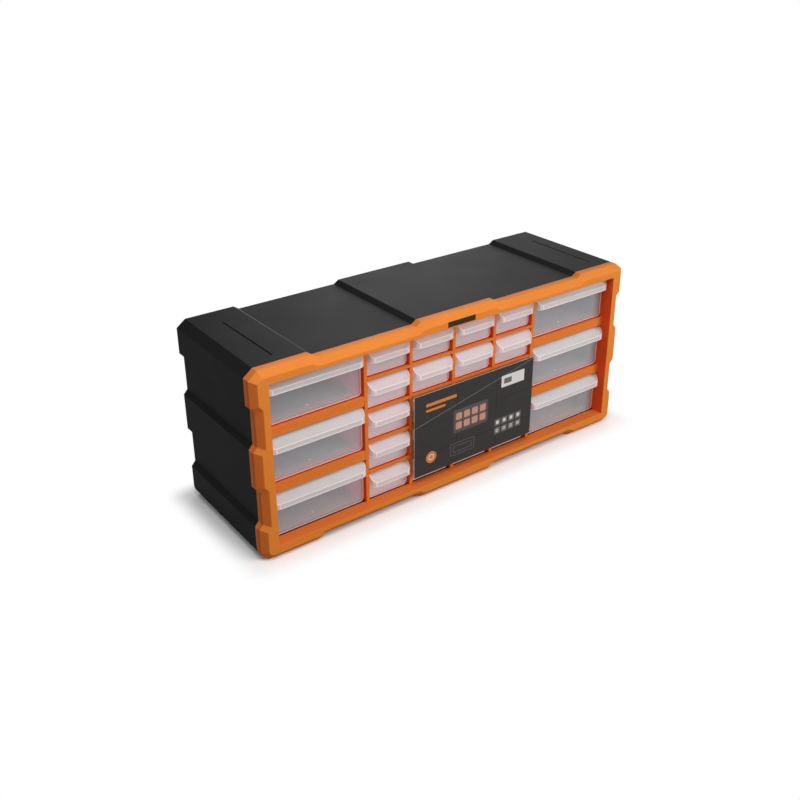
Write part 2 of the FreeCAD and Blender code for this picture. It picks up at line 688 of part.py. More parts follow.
def make_everything():
    bodies = [make_housing(), make_frame(), make_badge()]
    for number in range(SMALL_COLUMNS + 1):
        bodies.append(make_upright(number))
    for row in range(SMALL_ROWS - 1):
        bodies.append(make_small_shelf(row))
    for side in ("left", "right"):
        for row in range(len(LARGE_ROWS) - 1):
            bodies.append(make_large_shelf(side, row))
        for row, name in enumerate(LARGE_ROWS):
            bodies.append(make_drawer("large_drawer_%s_%s" % (side, name), large_cell(side, row)))
    for column in range(SMALL_COLUMNS):
        for row in range(SMALL_ROWS):
            label = "small_drawer_column%d_row%d" % (column + 1, row + 1)
            bodies.append(make_drawer(label, small_cell(column, row)))
    for column in CARD_COLUMNS:
        for row in CARD_ROWS:
            bodies.append(make_card_piece(column, row))
    document.recompute()
    return bodies


def check_and_write(bodies):
    """Stops at a failed feature or a bad solid, then writes one file per body."""
    for item in document.Objects:
        if "Invalid" in item.State or "Error" in item.State:
            raise RuntimeError("%s failed: %s" % (item.Name, item.State))
    for body in bodies:
        if body.Shape.isNull() or not body.Shape.isValid() or len(body.Shape.Solids) != 1:
            raise RuntimeError("%s has no valid single solid" % body.Label)
    os.makedirs("parts", exist_ok=True)
    for body in bodies:
        body.Shape.exportStep(os.path.join("parts", body.Label + ".step"))
        print("%-30s %9.1f mm3" % (body.Label, body.Shape.Volume))


check_and_write(make_everything())
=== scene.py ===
import math
import bpy
from mathutils import Matrix, Quaternion, Vector


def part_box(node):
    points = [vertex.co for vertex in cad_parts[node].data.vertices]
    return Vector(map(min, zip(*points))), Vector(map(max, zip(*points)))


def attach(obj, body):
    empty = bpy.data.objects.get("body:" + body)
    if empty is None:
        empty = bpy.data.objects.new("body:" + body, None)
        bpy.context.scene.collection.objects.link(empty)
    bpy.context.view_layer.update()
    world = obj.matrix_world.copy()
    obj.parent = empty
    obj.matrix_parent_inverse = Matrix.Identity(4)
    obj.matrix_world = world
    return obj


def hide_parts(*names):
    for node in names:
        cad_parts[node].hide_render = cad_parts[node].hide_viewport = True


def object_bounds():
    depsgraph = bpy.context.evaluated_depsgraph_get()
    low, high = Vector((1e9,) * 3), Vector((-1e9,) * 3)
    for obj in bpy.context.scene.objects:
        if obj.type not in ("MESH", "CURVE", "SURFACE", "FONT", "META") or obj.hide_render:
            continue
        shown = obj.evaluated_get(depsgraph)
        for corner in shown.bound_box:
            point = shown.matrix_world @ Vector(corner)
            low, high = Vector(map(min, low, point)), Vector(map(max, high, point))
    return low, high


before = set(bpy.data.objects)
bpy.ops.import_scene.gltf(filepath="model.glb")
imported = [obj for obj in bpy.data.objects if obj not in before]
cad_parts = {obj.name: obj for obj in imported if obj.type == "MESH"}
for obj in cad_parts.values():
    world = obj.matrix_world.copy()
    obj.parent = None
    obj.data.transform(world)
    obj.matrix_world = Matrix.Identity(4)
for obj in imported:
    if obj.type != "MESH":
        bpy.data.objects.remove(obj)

CAD_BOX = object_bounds()
MM = 0.001


# The view. A camera on the front left, looking down on the top, about 1.2 m away. Its turn, lens and small
# shift come from fitting the outline's corners in the photograph.
VIEW_AZIMUTH = math.radians(-37.597)
VIEW_ELEVATION = math.radians(26.136)
VIEW_ROLL = math.radians(0.185)
VIEW_DISTANCE = 1194.7 * MM
LOOK_AT = Vector((0.0, -2.5 * MM, 110.0 * MM))
LENS_MM = 45.32
SENSOR_MM = 36.0
SHIFT_ACROSS = -0.02135
SHIFT_UP = -0.02993

backwards = Vector((
    math.sin(VIEW_AZIMUTH) * math.cos(VIEW_ELEVATION),
    -math.cos(VIEW_AZIMUTH) * math.cos(VIEW_ELEVATION),
    math.sin(VIEW_ELEVATION),
))
camera_data = bpy.data.cameras.new("view_camera")
camera_data.lens = LENS_MM
camera_data.sensor_width = SENSOR_MM
camera_data.shift_x = SHIFT_ACROSS
camera_data.shift_y = SHIFT_UP
camera = bpy.data.objects.new("view_camera", camera_data)
camera.location = LOOK_AT + backwards * VIEW_DISTANCE
camera.rotation_mode = "QUATERNION"
turn = (-backwards).to_track_quat("-Z", "Y")
camera.rotation_quaternion = turn @ Quaternion((0.0, 0.0, 1.0), VIEW_ROLL)
bpy.context.scene.collection.objects.link(camera)
bpy.context.scene.camera = camera
bpy.context.scene.view_settings.view_transform = "Standard"


# Housing: one black ABS moulding with a fine grain left by the mould, drawn from the front. Its skin
# steps in and out round the box, and two narrow slots run along the raised ends of the top.
HOUSING_COLOUR = "1E1E1E"
HOUSING_GRAIN_MM = 0.7
HOUSING_EDGE_MM = 0.8
BUMP_MM = 0.2
PIGMENT_MARK_MM = 71.0
GLOSS_MARK_MM = 55.0
MERGE_MM = 0.002
FLAT_ANGLE = math.radians(1.0)
EASED_ANGLE = math.radians(24.0)
SMOOTH_ANGLE = math.radians(30.0)


def linear(hex_colour):
    """An sRGB hex colour as the linear values that a shader takes."""
    channels = [int(hex_colour[i:i + 2], 16) / 255 for i in (0, 2, 4)]
    return [c / 12.92 if c <= 0.04045 else ((c + 0.055) / 1.055) ** 2.4 for c in channels] + [1.0]


def add_node(tree, kind, values=None, links=None, **settings):
    """Adds a shader node with its settings, its sockets' values and the links into its sockets."""
    node = tree.nodes.new(kind)
    for name, setting in settings.items():
        setattr(node, name, setting)
    for socket, number in (values or {}).items():
        node.inputs[socket].default_value = number
    for socket, source in (links or {}).items():
        tree.links.new(source, node.inputs[socket])
    return node


def new_material(name):
    """A material with an empty tree but for the shader's output."""
    material = bpy.data.materials.new(name)
    material.use_nodes = True
    tree = material.node_tree
    tree.nodes.clear()
    return material, tree, tree.nodes.new("ShaderNodeOutputMaterial")


def grained_surface(tree, output, place, tint, roughness, grain_mm, grain_height, **shading):
    """Finishes a moulded plastic: its tint, the grain of the mould and slight flow marks in its gloss."""
    grain = add_node(tree, "ShaderNodeTexNoise",
                     {"Scale": 1.0 / (grain_mm * MM), "Detail": 3.0, "Roughness": 0.6}, {"Vector": place})
    flow = add_node(tree, "ShaderNodeTexNoise", {"Scale": 1.0 / (GLOSS_MARK_MM * MM), "Detail": 2.0},
                    {"Vector": place})
    gloss = add_node(tree, "ShaderNodeMapRange",
                     {"To Min": roughness - 0.05, "To Max": roughness + 0.05},
                     {"Value": flow.outputs["Fac"]})
    bump = add_node(tree, "ShaderNodeBump", {"Strength": grain_height, "Distance": BUMP_MM * MM},
                    {"Height": grain.outputs["Fac"]})
    shader = add_node(tree, "ShaderNodeBsdfPrincipled", shading.get("values"),
                      {"Base Color": tint, "Roughness": gloss.outputs["Result"],
                       "Normal": bump.outputs["Normal"]})
    tree.links.new(shader.outputs["BSDF"], output.inputs["Surface"])


def moulded_plastic(name, colour, roughness, grain_mm, grain_height, spread, values=None):
    """An opaque moulded plastic or lacquer: one pigment that varies a little from place to place."""
    material, tree, output = new_material(name)
    place = add_node(tree, "ShaderNodeTexCoord").outputs["Object"]
    flow = add_node(tree, "ShaderNodeTexNoise", {"Scale": 1.0 / (PIGMENT_MARK_MM * MM), "Detail": 2.0},
                    {"Vector": place})
    darker = [c * (1.0 - spread) for c in linear(colour)[:3]] + [1.0]
    lighter = [c * (1.0 + spread) for c in linear(colour)[:3]] + [1.0]
    tint = add_node(tree, "ShaderNodeMix", {"A": darker, "B": lighter},
                    {"Factor": flow.outputs["Fac"]}, data_type="RGBA").outputs["Result"]
    grained_surface(tree, output, place, tint, roughness, grain_mm, grain_height, values=values)
    return material


def deselect_all():
    for item in list(bpy.context.selected_objects):
        item.select_set(False)


def eased_copy(node, name, edge_mm, segments=2, edge_slot=0):
    """A clean copy of a solid, its sharp edges eased as a mould leaves them and its faces kept flat."""
    deselect_all()
    piece = bpy.data.objects.new(name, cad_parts[node].data.copy())
    piece.data.materials.clear()
    bpy.context.scene.collection.objects.link(piece)
    piece.select_set(True)
    bpy.context.view_layer.objects.active = piece
    bpy.ops.object.mode_set(mode="EDIT")
    bpy.ops.mesh.select_all(action="SELECT")
    bpy.ops.mesh.remove_doubles(threshold=MERGE_MM * MM)
    bpy.ops.mesh.dissolve_limited(angle_limit=FLAT_ANGLE)
    bpy.ops.object.mode_set(mode="OBJECT")
    bevel = piece.modifiers.new("eased_edges", "BEVEL")
    bevel.width = edge_mm * MM
    bevel.segments = segments
    bevel.limit_method = "ANGLE"
    bevel.angle_limit = EASED_ANGLE
    bevel.use_clamp_overlap = True
    bevel.material = edge_slot
    bpy.ops.object.modifier_apply(modifier="eased_edges")
    bpy.ops.object.shade_smooth_by_angle(angle=SMOOTH_ANGLE)
    flat_faces = piece.modifiers.new("flat_faces", "WEIGHTED_NORMAL")
    flat_faces.keep_sharp = True
    flat_faces.weight = 100
    bpy.ops.object.modifier_apply(modifier="flat_faces")
    return piece


def finish_piece(piece, node, body, slot, *materials):
    """Gives a piece its materials, puts it in its node's place and lets it ride on its body."""
    piece.data.materials.clear()
    for material in materials:
        piece.data.materials.append(material)
    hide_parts(node)
    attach(piece, body)


# Moulded black ABS: a dull black whose fine grain spreads the lamps into a broad, faint sheen.
black_abs = moulded_plastic("black_moulded_abs", HOUSING_COLOUR, roughness=0.5, grain_mm=HOUSING_GRAIN_MM,
                            grain_height=0.25, spread=0.06, values={"Specular IOR Level": 0.3})
housing = eased_copy("housing_shell", "housing_skin", HOUSING_EDGE_MM)
finish_piece(housing, "housing_shell", "cabinet", "housing_plastic", black_abs)


# Front frame: orange ABS, moulded in one with its bevel and collar, whose sleeve slides over the housing's
# inner wall. The plastic lets in a little light. Painted shade turns its sides and the inside of the cells
# a redder orange, and the sill is painted black under the bottom drawers as painted shade.
FRAME_TINTS = ("EE8930", "F4933C")
# Painted shade: faces turned to either side take this redder, darker orange.
SHADED_SIDE_COLOUR = "E56A2B"
# Painted shade: a redder orange from 10 mm behind the front, in the recesses and cells.
RECESS_SHADE_COLOUR = "F08233"
# Painted shadow: a dark red on the shelves' tops under the drawers.
UNDER_DRAWER_SHADE_COLOUR = "C23A16"
# Painted shade: a redder orange on the level faces inside the cells.
CELL_FLOOR_SHADE_COLOUR = "F48036"
# Painted shade: a deep red-orange on the cells' side faces.
CELL_SIDE_SHADE_COLOUR = "F4571F"
FRAME_EDGE_MM = 0.6
FRAME_GRAIN_MM = 0.9
OPENING_HALF_MM = 241.5
OPENING_HIGH_MM = 203.5
FACE_MM = 0.5
RECESS_MM = 10.0
UNDER_DRAWER_MM = 15.5
SILL_HIGH_MM = 16.4
SEAM_MM = 0.2
TURNED_FROM = 0.5
TURNED_TO = 0.8
SCATTER_MM = 5.0


def orange_moulding(name, black_from_mm, black_below_mm):
    """Satin orange with painted shade on the sides and in the cells; black behind a depth and below a
    height.

    Depths count from the object's front. Each layer of colour is a mask over the ones before it.
    """
    material, tree, output = new_material(name)
    place = add_node(tree, "ShaderNodeTexCoord")
    at = add_node(tree, "ShaderNodeSeparateXYZ", links={"Vector": place.outputs["Object"]})
    facing = add_node(tree, "ShaderNodeSeparateXYZ", links={"Vector": place.outputs["Normal"]})
    flow = add_node(tree, "ShaderNodeTexNoise", {"Scale": 1.0 / (PIGMENT_MARK_MM * MM), "Detail": 2.0},
                    {"Vector": place.outputs["Object"]})
    tint = add_node(tree, "ShaderNodeMix", {"A": linear(FRAME_TINTS[0]), "B": linear(FRAME_TINTS[1])},
                    {"Factor": flow.outputs["Fac"]}, data_type="RGBA").outputs["Result"]

    def past(number, edge):
        ends = {"From Min": edge - SEAM_MM * MM, "From Max": edge + SEAM_MM * MM}
        return add_node(tree, "ShaderNodeMapRange", ends, {"Value": number}).outputs["Result"]

    def both(first, second):
        product = add_node(tree, "ShaderNodeMath", links={0: first, 1: second}, operation="MULTIPLY")
        return product.outputs[0]

    def flipped(number):
        rest = add_node(tree, "ShaderNodeMath", {0: 1.0}, {1: number}, operation="SUBTRACT")
        return rest.outputs[0]

    def behind(depth_mm):
        return past(at.outputs["Y"], CAD_BOX[0].y + depth_mm * MM)

    def turned_to(axis):
        along = add_node(tree, "ShaderNodeMath", links={0: facing.outputs[axis]}, operation="ABSOLUTE")
        return add_node(tree, "ShaderNodeMapRange", {"From Min": TURNED_FROM, "From Max": TURNED_TO},
                        {"Value": along.outputs[0]}).outputs["Result"]

    across = add_node(tree, "ShaderNodeMath", links={0: at.outputs["X"]}, operation="ABSOLUTE").outputs[0]
    in_opening = both(flipped(past(across, OPENING_HALF_MM * MM)),
                      flipped(past(at.outputs["Z"], OPENING_HIGH_MM * MM)))
    in_opening = both(in_opening, behind(FACE_MM))
    level = both(turned_to("Z"), in_opening)
    black = both(behind(black_from_mm), flipped(past(at.outputs["Z"], black_below_mm * MM)))
    # Painted shade: redder oranges on sideways faces, recesses, the cells' floors, the shelves under the
    # drawers and the cells' sides; on the frame the black under the bottom drawers is painted shade too.
    layers = [(turned_to("X"), SHADED_SIDE_COLOUR), (behind(RECESS_MM), RECESS_SHADE_COLOUR), (level, CELL_FLOOR_SHADE_COLOUR),
              (both(level, behind(UNDER_DRAWER_MM)), UNDER_DRAWER_SHADE_COLOUR),
              (both(turned_to("X"), in_opening), CELL_SIDE_SHADE_COLOUR), (black, HOUSING_COLOUR)]
    for mask, colour in layers:
        tint = add_node(tree, "ShaderNodeMix", {"B": linear(colour)}, {"Factor": mask, "A": tint},
                        data_type="RGBA").outputs["Result"]
    grained_surface(tree, output, place.outputs["Object"], tint, 0.45, FRAME_GRAIN_MM, 0.08,
                    values={"Specular IOR Level": 0.2, "Subsurface Weight": 0.3,
                            "Subsurface Radius": (1.0, 0.2, 0.05), "Subsurface Scale": SCATTER_MM * MM})
    return material


# Moulded orange ABS: a satin, warm orange without sharp highlights, painted redder as shade on its sides
# and in the cells.
# On the frame, the black behind the sill's front is painted shade in the gap under the bottom drawers.
orange_abs = orange_moulding("orange_moulded_abs", UNDER_DRAWER_MM, SILL_HIGH_MM)
rim = eased_copy("front_frame", "frame_rim", FRAME_EDGE_MM)
finish_piece(rim, "front_frame", "cabinet", "frame_plastic", orange_abs)


# Grid: uprights and shelves of the same orange ABS at the front and black behind, where they reach
# into the housing. They slot together with half laps and into grooves of the inner wall.
GRID_EDGE_MM = 0.35
UPRIGHT_ORANGE_MM = 84.0
SHELF_ORANGE_MM = 33.0
WHOLE_HEIGHT_MM = CAD_BOX[1].z / MM

# Orange and black moulded ABS: satin orange as on the frame, so that it looks like one piece with it. The
# black part keeps the cells dark behind the clear drawers.
upright_plastic = orange_moulding("orange_and_black_abs_upright", UPRIGHT_ORANGE_MM, WHOLE_HEIGHT_MM)
shelf_plastic = orange_moulding("orange_and_black_abs_shelf", SHELF_ORANGE_MM, WHOLE_HEIGHT_MM)
for node in sorted(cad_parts):
    if node.startswith("upright") or "shelf" in node:
        panel = eased_copy(node, "grid_" + node, GRID_EDGE_MM, 1)
        plastic = upright_plastic if node.startswith("upright") else shelf_plastic
        finish_piece(panel, node, "cabinet", "grid_plastic", plastic)


# Badge plate: a thin plate of lacquered metal, glued into a shallow pocket of the top border. It is bare.
BADGE_COLOUR = "3A2A14"
BADGE_EDGE_MM = 0.2

# Dark lacquer: smoother than the plastic round it, so it shows a faint, sharper shine.
badge_lacquer = moulded_plastic("dark_lacquered_plate", BADGE_COLOUR, roughness=0.3, grain_mm=0.5,
                                grain_height=0.05, spread=0.06)
badge = eased_copy("badge_plate", "badge_face", BADGE_EDGE_MM)
finish_piece(badge, "badge_plate", "cabinet", "badge_plastic", badge_lacquer)


# Drawers: injection-moulded clear polystyrene with walls of 1.5 mm, each in one with the hood that it is
# pulled by. The walls are slightly milky, the small drawers' ones more so, and the hoods are frosted.
# Painted light: the walls' edges glow as pink lines, and side walls by the orange show painted pink.
WALL_TINT = "E6ECF0"
# Painted reflected light: the pink cast of the small drawers' tints stands for the orange round them.
SMALL_WALL_TINT = "F4E6EA"
HOOD_TINT = "F4F2F0"
SMALL_HOOD_TINT = "F8E9EA"
# Painted glow: the edges' pink tint and glow stand in for light from the orange round them.
EDGE_TINT = "FFC2BA"
# Painted reflected light: the pink and glow that side walls show beside the orange grid.
PAINTED_PINK_LIGHT = "F07C92"
# Painted glow: the hoods' rims and the gate nub glow a whitish pink.
RIM_TINT = "FFF0EB"
DRAWER_EDGE_MM = 0.3
HOOD_REACH_MM = 11.0
HOOD_DROP_MM = 15.9
WALL_MM = 1.5
HAZE_PASSES = 0.75
PINK_LIGHT_COVER = 0.35
PINK_GLOW = 0.18
PINK_TO_MM = 60.0
CLEAR_FROM_MM = 100.0
BESIDE_HOUSING_MM = 200.0
LINE_MM = 1.0
GATE_MM = 1.0
GATE_HIGH_MM = 0.6
GATE_EDGE_MM = 0.15
GATE_BEHIND_MM = 14.0
LIP_BEFORE_WALL_MM = 5.0
NEAR_MM = 0.1
STRIP_MM2 = 3.0
CHEEK_MM2 = 10.0
SLOPE_MM2 = 50.0
SQUARE_MM = MM * MM
RIPPLE_MM = 0.3
WAVE_MM = 33.0
PLAIN, EDGE, HOOD, RIM = range(4)


def painted_orange_light(tree, coordinates, pink):
    """How much painted pink light a side wall shows beside the orange: less from where the upright turns
    black.
    """
    at = add_node(tree, "ShaderNodeSeparateXYZ", links={"Vector": coordinates.outputs["Object"]})
    facing = add_node(tree, "ShaderNodeSeparateXYZ", links={"Vector": coordinates.outputs["Normal"]})
    sideways = add_node(tree, "ShaderNodeMath", links={0: facing.outputs["X"]}, operation="ABSOLUTE")
    across = add_node(tree, "ShaderNodeMath", links={0: at.outputs["X"]}, operation="ABSOLUTE")
    by_upright = add_node(tree, "ShaderNodeMath", {1: BESIDE_HOUSING_MM * MM}, {0: across.outputs[0]},
                          operation="LESS_THAN")
    depths = {"From Min": CAD_BOX[0].y + PINK_TO_MM * MM, "From Max": CAD_BOX[0].y + CLEAR_FROM_MM * MM}
    fading = add_node(tree, "ShaderNodeMapRange", {**depths, "To Min": pink, "To Max": 0.0},
                      {"Value": at.outputs["Y"]})
    walls = add_node(tree, "ShaderNodeMath", links={0: sideways.outputs[0], 1: by_upright.outputs[0]},
                     operation="MULTIPLY")
    pink_light = add_node(tree, "ShaderNodeMath", links={0: walls.outputs[0], 1: fading.outputs["Result"]},
                     operation="MULTIPLY")
    return pink_light.outputs[0]


def clear_polystyrene(name, colour, haze, edge_haze, roughness, painted_glow=0.0, pink=0.0):
    """Clear plastic with a little haze, more of it seen at a slant, a painted glow and painted pink light
    by the orange.

    Most of the light passes through, so the haze casts less shadow than it hides.
    """
    material, tree, output = new_material(name)
    coordinates = add_node(tree, "ShaderNodeTexCoord")
    flow = add_node(tree, "ShaderNodeTexNoise", {"Scale": 1.0 / (WAVE_MM * MM), "Detail": 2.0},
                    {"Vector": coordinates.outputs["Object"]})
    ripple = add_node(tree, "ShaderNodeBump", {"Strength": 0.1, "Distance": RIPPLE_MM * MM},
                      {"Height": flow.outputs["Fac"]})
    gloss = add_node(tree, "ShaderNodeMapRange", {"To Min": roughness - 0.03, "To Max": roughness + 0.05},
                     {"Value": flow.outputs["Fac"]})
    slant = add_node(tree, "ShaderNodeLayerWeight", {"Blend": 0.35})
    cover = add_node(tree, "ShaderNodeMapRange", {"To Min": haze, "To Max": edge_haze},
                     {"Value": slant.outputs["Facing"]}).outputs["Result"]
    sockets = {"IOR": 1.59, "Base Color": linear(colour), "Emission Color": linear(colour),
               "Emission Strength": painted_glow}
    links = {"Roughness": gloss.outputs["Result"], "Normal": ripple.outputs["Normal"]}
    # Painted light: side walls beside the orange turn pink, a little more opaque, and glow.
    if pink:
        pink_light = painted_orange_light(tree, coordinates, pink)
        cover = add_node(tree, "ShaderNodeMath", {1: PINK_LIGHT_COVER}, {0: pink_light, 2: cover},
                         operation="MULTIPLY_ADD").outputs[0]
        plain_glow = [painted_glow * part for part in linear(colour)]
        pink_glow = [PINK_GLOW * part for part in linear(PAINTED_PINK_LIGHT)]
        sockets["Emission Strength"] = 1.0
        links["Base Color"] = add_node(tree, "ShaderNodeMix", {"A": linear(colour), "B": linear(PAINTED_PINK_LIGHT)},
                                       {"Factor": pink_light}, data_type="RGBA").outputs["Result"]
        links["Emission Color"] = add_node(tree, "ShaderNodeMix", {"A": plain_glow, "B": pink_glow},
                                           {"Factor": pink_light}, data_type="RGBA").outputs["Result"]
    ray = add_node(tree, "ShaderNodeLightPath")
    lighting = add_node(tree, "ShaderNodeMath",
                        links={0: ray.outputs["Is Shadow Ray"], 1: ray.outputs["Is Diffuse Ray"]},
                        operation="MAXIMUM")
    passed_on = add_node(tree, "ShaderNodeMapRange", {"To Min": 1.0, "To Max": 1.0 - HAZE_PASSES},
                         {"Value": lighting.outputs[0]})
    links["Alpha"] = add_node(tree, "ShaderNodeMath", links={0: cover, 1: passed_on.outputs["Result"]},
                              operation="MULTIPLY").outputs[0]
    shader = add_node(tree, "ShaderNodeBsdfPrincipled", sockets, links)
    tree.links.new(shader.outputs["BSDF"], output.inputs["Surface"])
    return material


# Clear polystyrene: glossy and see-through with a cool haze, so the dark cell behind turns grey.
# Painted light: a pink reflection and glow on the side walls beside the orange.
large_wall = clear_polystyrene("clear_polystyrene_wall", WALL_TINT, haze=0.18, edge_haze=0.48,
                               roughness=0.2, pink=0.8)
# Milky polystyrene: the small drawers' walls lie close together and hide more of what is behind them.
# Painted light: a faint glow, a pink cast and, beside the orange, a painted pink reflection.
small_wall = clear_polystyrene("milky_polystyrene_wall", SMALL_WALL_TINT, haze=0.4, edge_haze=0.65,
                               roughness=0.2, painted_glow=0.04, pink=0.3)
# Cut and moulded edges: a painted glow and a pink tint draw them as bright pink or whitish lines.
clear_edge = clear_polystyrene("clear_polystyrene_edge", EDGE_TINT, haze=0.8, edge_haze=0.92,
                               roughness=0.25, painted_glow=0.12)
clear_rim = clear_polystyrene("clear_polystyrene_rim", RIM_TINT, haze=0.62, edge_haze=0.8,
                              roughness=0.25, painted_glow=0.08)
# Frosted polystyrene: the hoods' textured faces scatter the light into an even, whitish grey.
large_hood = clear_polystyrene("frosted_polystyrene_hood", HOOD_TINT, haze=0.38, edge_haze=0.62,
                               roughness=0.5)
small_hood = clear_polystyrene("frosted_polystyrene_small_hood", SMALL_HOOD_TINT, haze=0.38,
                               edge_haze=0.62, roughness=0.5)


def select_faces(piece, wanted):
    """Selects in edit mode just the faces that pass the test."""
    bpy.ops.object.mode_set(mode="EDIT")
    bpy.ops.mesh.select_all(action="DESELECT")
    bpy.ops.object.mode_set(mode="OBJECT")
    for face in piece.data.polygons:
        face.select = wanted(face)
    bpy.ops.object.mode_set(mode="EDIT")
    bpy.ops.mesh.select_mode(type="FACE")


def set_slot(piece, number, wanted):
    """Gives the faces that pass the test a material slot. Works in object mode."""
    bpy.ops.object.mode_set(mode="OBJECT")
    for face in piece.data.polygons:
        if wanted(face):
            face.material_index = number


def line_drawer(piece, low, high):
    """Marks the thick edges of the front wall and of the hood."""
    wall_front = low.y + HOOD_REACH_MM * MM
    hood_back = wall_front - NEAR_MM * MM
    lip_back = wall_front - LIP_BEFORE_WALL_MM * MM
    hood_low = high.z - HOOD_DROP_MM * MM
    line_high = hood_low + LINE_MM * MM

    def in_wall(face):
        return face.normal.y < -0.99 and abs(face.center.y - wall_front) < 2 * NEAR_MM * MM

    def below_hood(face):
        return in_wall(face) and face.center.z < hood_low

    def in_lip(face):
        return face.center.y < lip_back and abs(face.normal.z) < 0.3

    def in_slope(face):
        slanted = face.normal.y < -0.3 and face.normal.z > 0.3
        return slanted and face.center.y < wall_front and face.area > SLOPE_MM2 * SQUARE_MM

    def on_strip(face):
        low_on_lip = face.center.y < lip_back and face.center.z < line_high
        return face.center.y < hood_back and (face.area < STRIP_MM2 * SQUARE_MM or low_on_lip)

    def in_cheek(face):
        sideways = abs(face.normal.x) > 0.9
        return sideways and face.center.y < hood_back and face.area > CHEEK_MM2 * SQUARE_MM

    for wanted, height in ((in_wall, hood_low), (in_lip, line_high)):
        select_faces(piece, wanted)
        bpy.ops.mesh.bisect(plane_co=(0.0, 0.0, height), plane_no=(0.0, 0.0, 1.0))
    set_slot(piece, HOOD, lambda face: face.center.y < hood_back)
    set_slot(piece, RIM, on_strip)
    set_slot(piece, RIM, in_cheek)
    for wanted, thickness, strip, inner in (
            (below_hood, WALL_MM, EDGE, PLAIN),
            (in_slope, LINE_MM, RIM, HOOD)):
        set_slot(piece, strip, wanted)
        select_faces(piece, wanted)
        bpy.ops.mesh.inset(thickness=thickness * MM, depth=0.0)
        set_slot(piece, inner, lambda face: face.select)


def shifted_copy(original, name, shift):
    """A copy with its own mesh, moved by the shift."""
    piece = bpy.data.objects.new(name, original.data.copy())
    piece.data.transform(Matrix.Translation(shift))
    bpy.context.scene.collection.objects.link(piece)
    return piece


def add_gate_mark(tub, low, high):
    """The nub that the mould's gate leaves on the floor of a large drawer."""
    deselect_all()
    floor = low.z + WALL_MM * MM
    place = ((low.x + high.x) / 2, low.y + (HOOD_REACH_MM + GATE_BEHIND_MM) * MM, floor)
    bpy.ops.mesh.primitive_cylinder_add(vertices=16, radius=GATE_MM * MM, depth=GATE_HIGH_MM * MM,
                                        location=place)
    nub = bpy.context.object
    bpy.ops.object.transform_apply(location=True, rotation=True, scale=True)
    bpy.ops.object.mode_set(mode="EDIT")
    bpy.ops.mesh.bevel(offset=GATE_EDGE_MM * MM, segments=2)
    bpy.ops.object.mode_set(mode="OBJECT")
    bpy.ops.object.shade_smooth_by_angle(angle=SMOOTH_ANGLE)
    for face in nub.data.polygons:
        face.material_index = RIM
    tub.select_set(True)
    bpy.context.view_layer.objects.active = tub
    bpy.ops.object.join()


for size, wall, hood in (("large", large_wall, large_hood), ("small", small_wall, small_hood)):
    drawers = sorted(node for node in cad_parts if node.startswith(size + "_drawer"))
    first = drawers[0]
    pattern = eased_copy(first, "tub_" + first, DRAWER_EDGE_MM, 2, EDGE)
    start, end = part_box(first)
    for material in (wall, clear_edge, hood, clear_rim):
        pattern.data.materials.append(material)
    line_drawer(pattern, start, end)
    if size == "large":
        add_gate_mark(pattern, start, end)
    tubs = {first: pattern}
    for node in drawers[1:]:
        tubs[node] = shifted_copy(pattern, "tub_" + node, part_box(node)[0] - start)
    for node, tub in tubs.items():
        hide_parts(node)
        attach(tub, node)


# Printed card: a coated white board in front of nine small drawers, cut at the joints, with rounded
# corners. Its print is a plain one of bars, tiles, outlines, a disc and a label on a dark ground.
CARD_GROUND = "3B3837"
CARD_GROUND_PALER = "423F3E"
CARD_CORNER_MM = 4.0
CARD_EDGE_MM = 0.02
CARD_SLANT = math.radians(12.0)
TILE_PITCH_MM = 12.0
SIGN_PITCH_MM = 11.0
MOTTLE_MM = 25.0
CARD_ORANGE = "E8863C"
CARD_PALE = "E9E6E2"
CARD_GREY = "77736F"
CARD_PINK = "D99B86"
CARD_DIM = "5E5A57"
CARD_CORE = "E6DAD2"


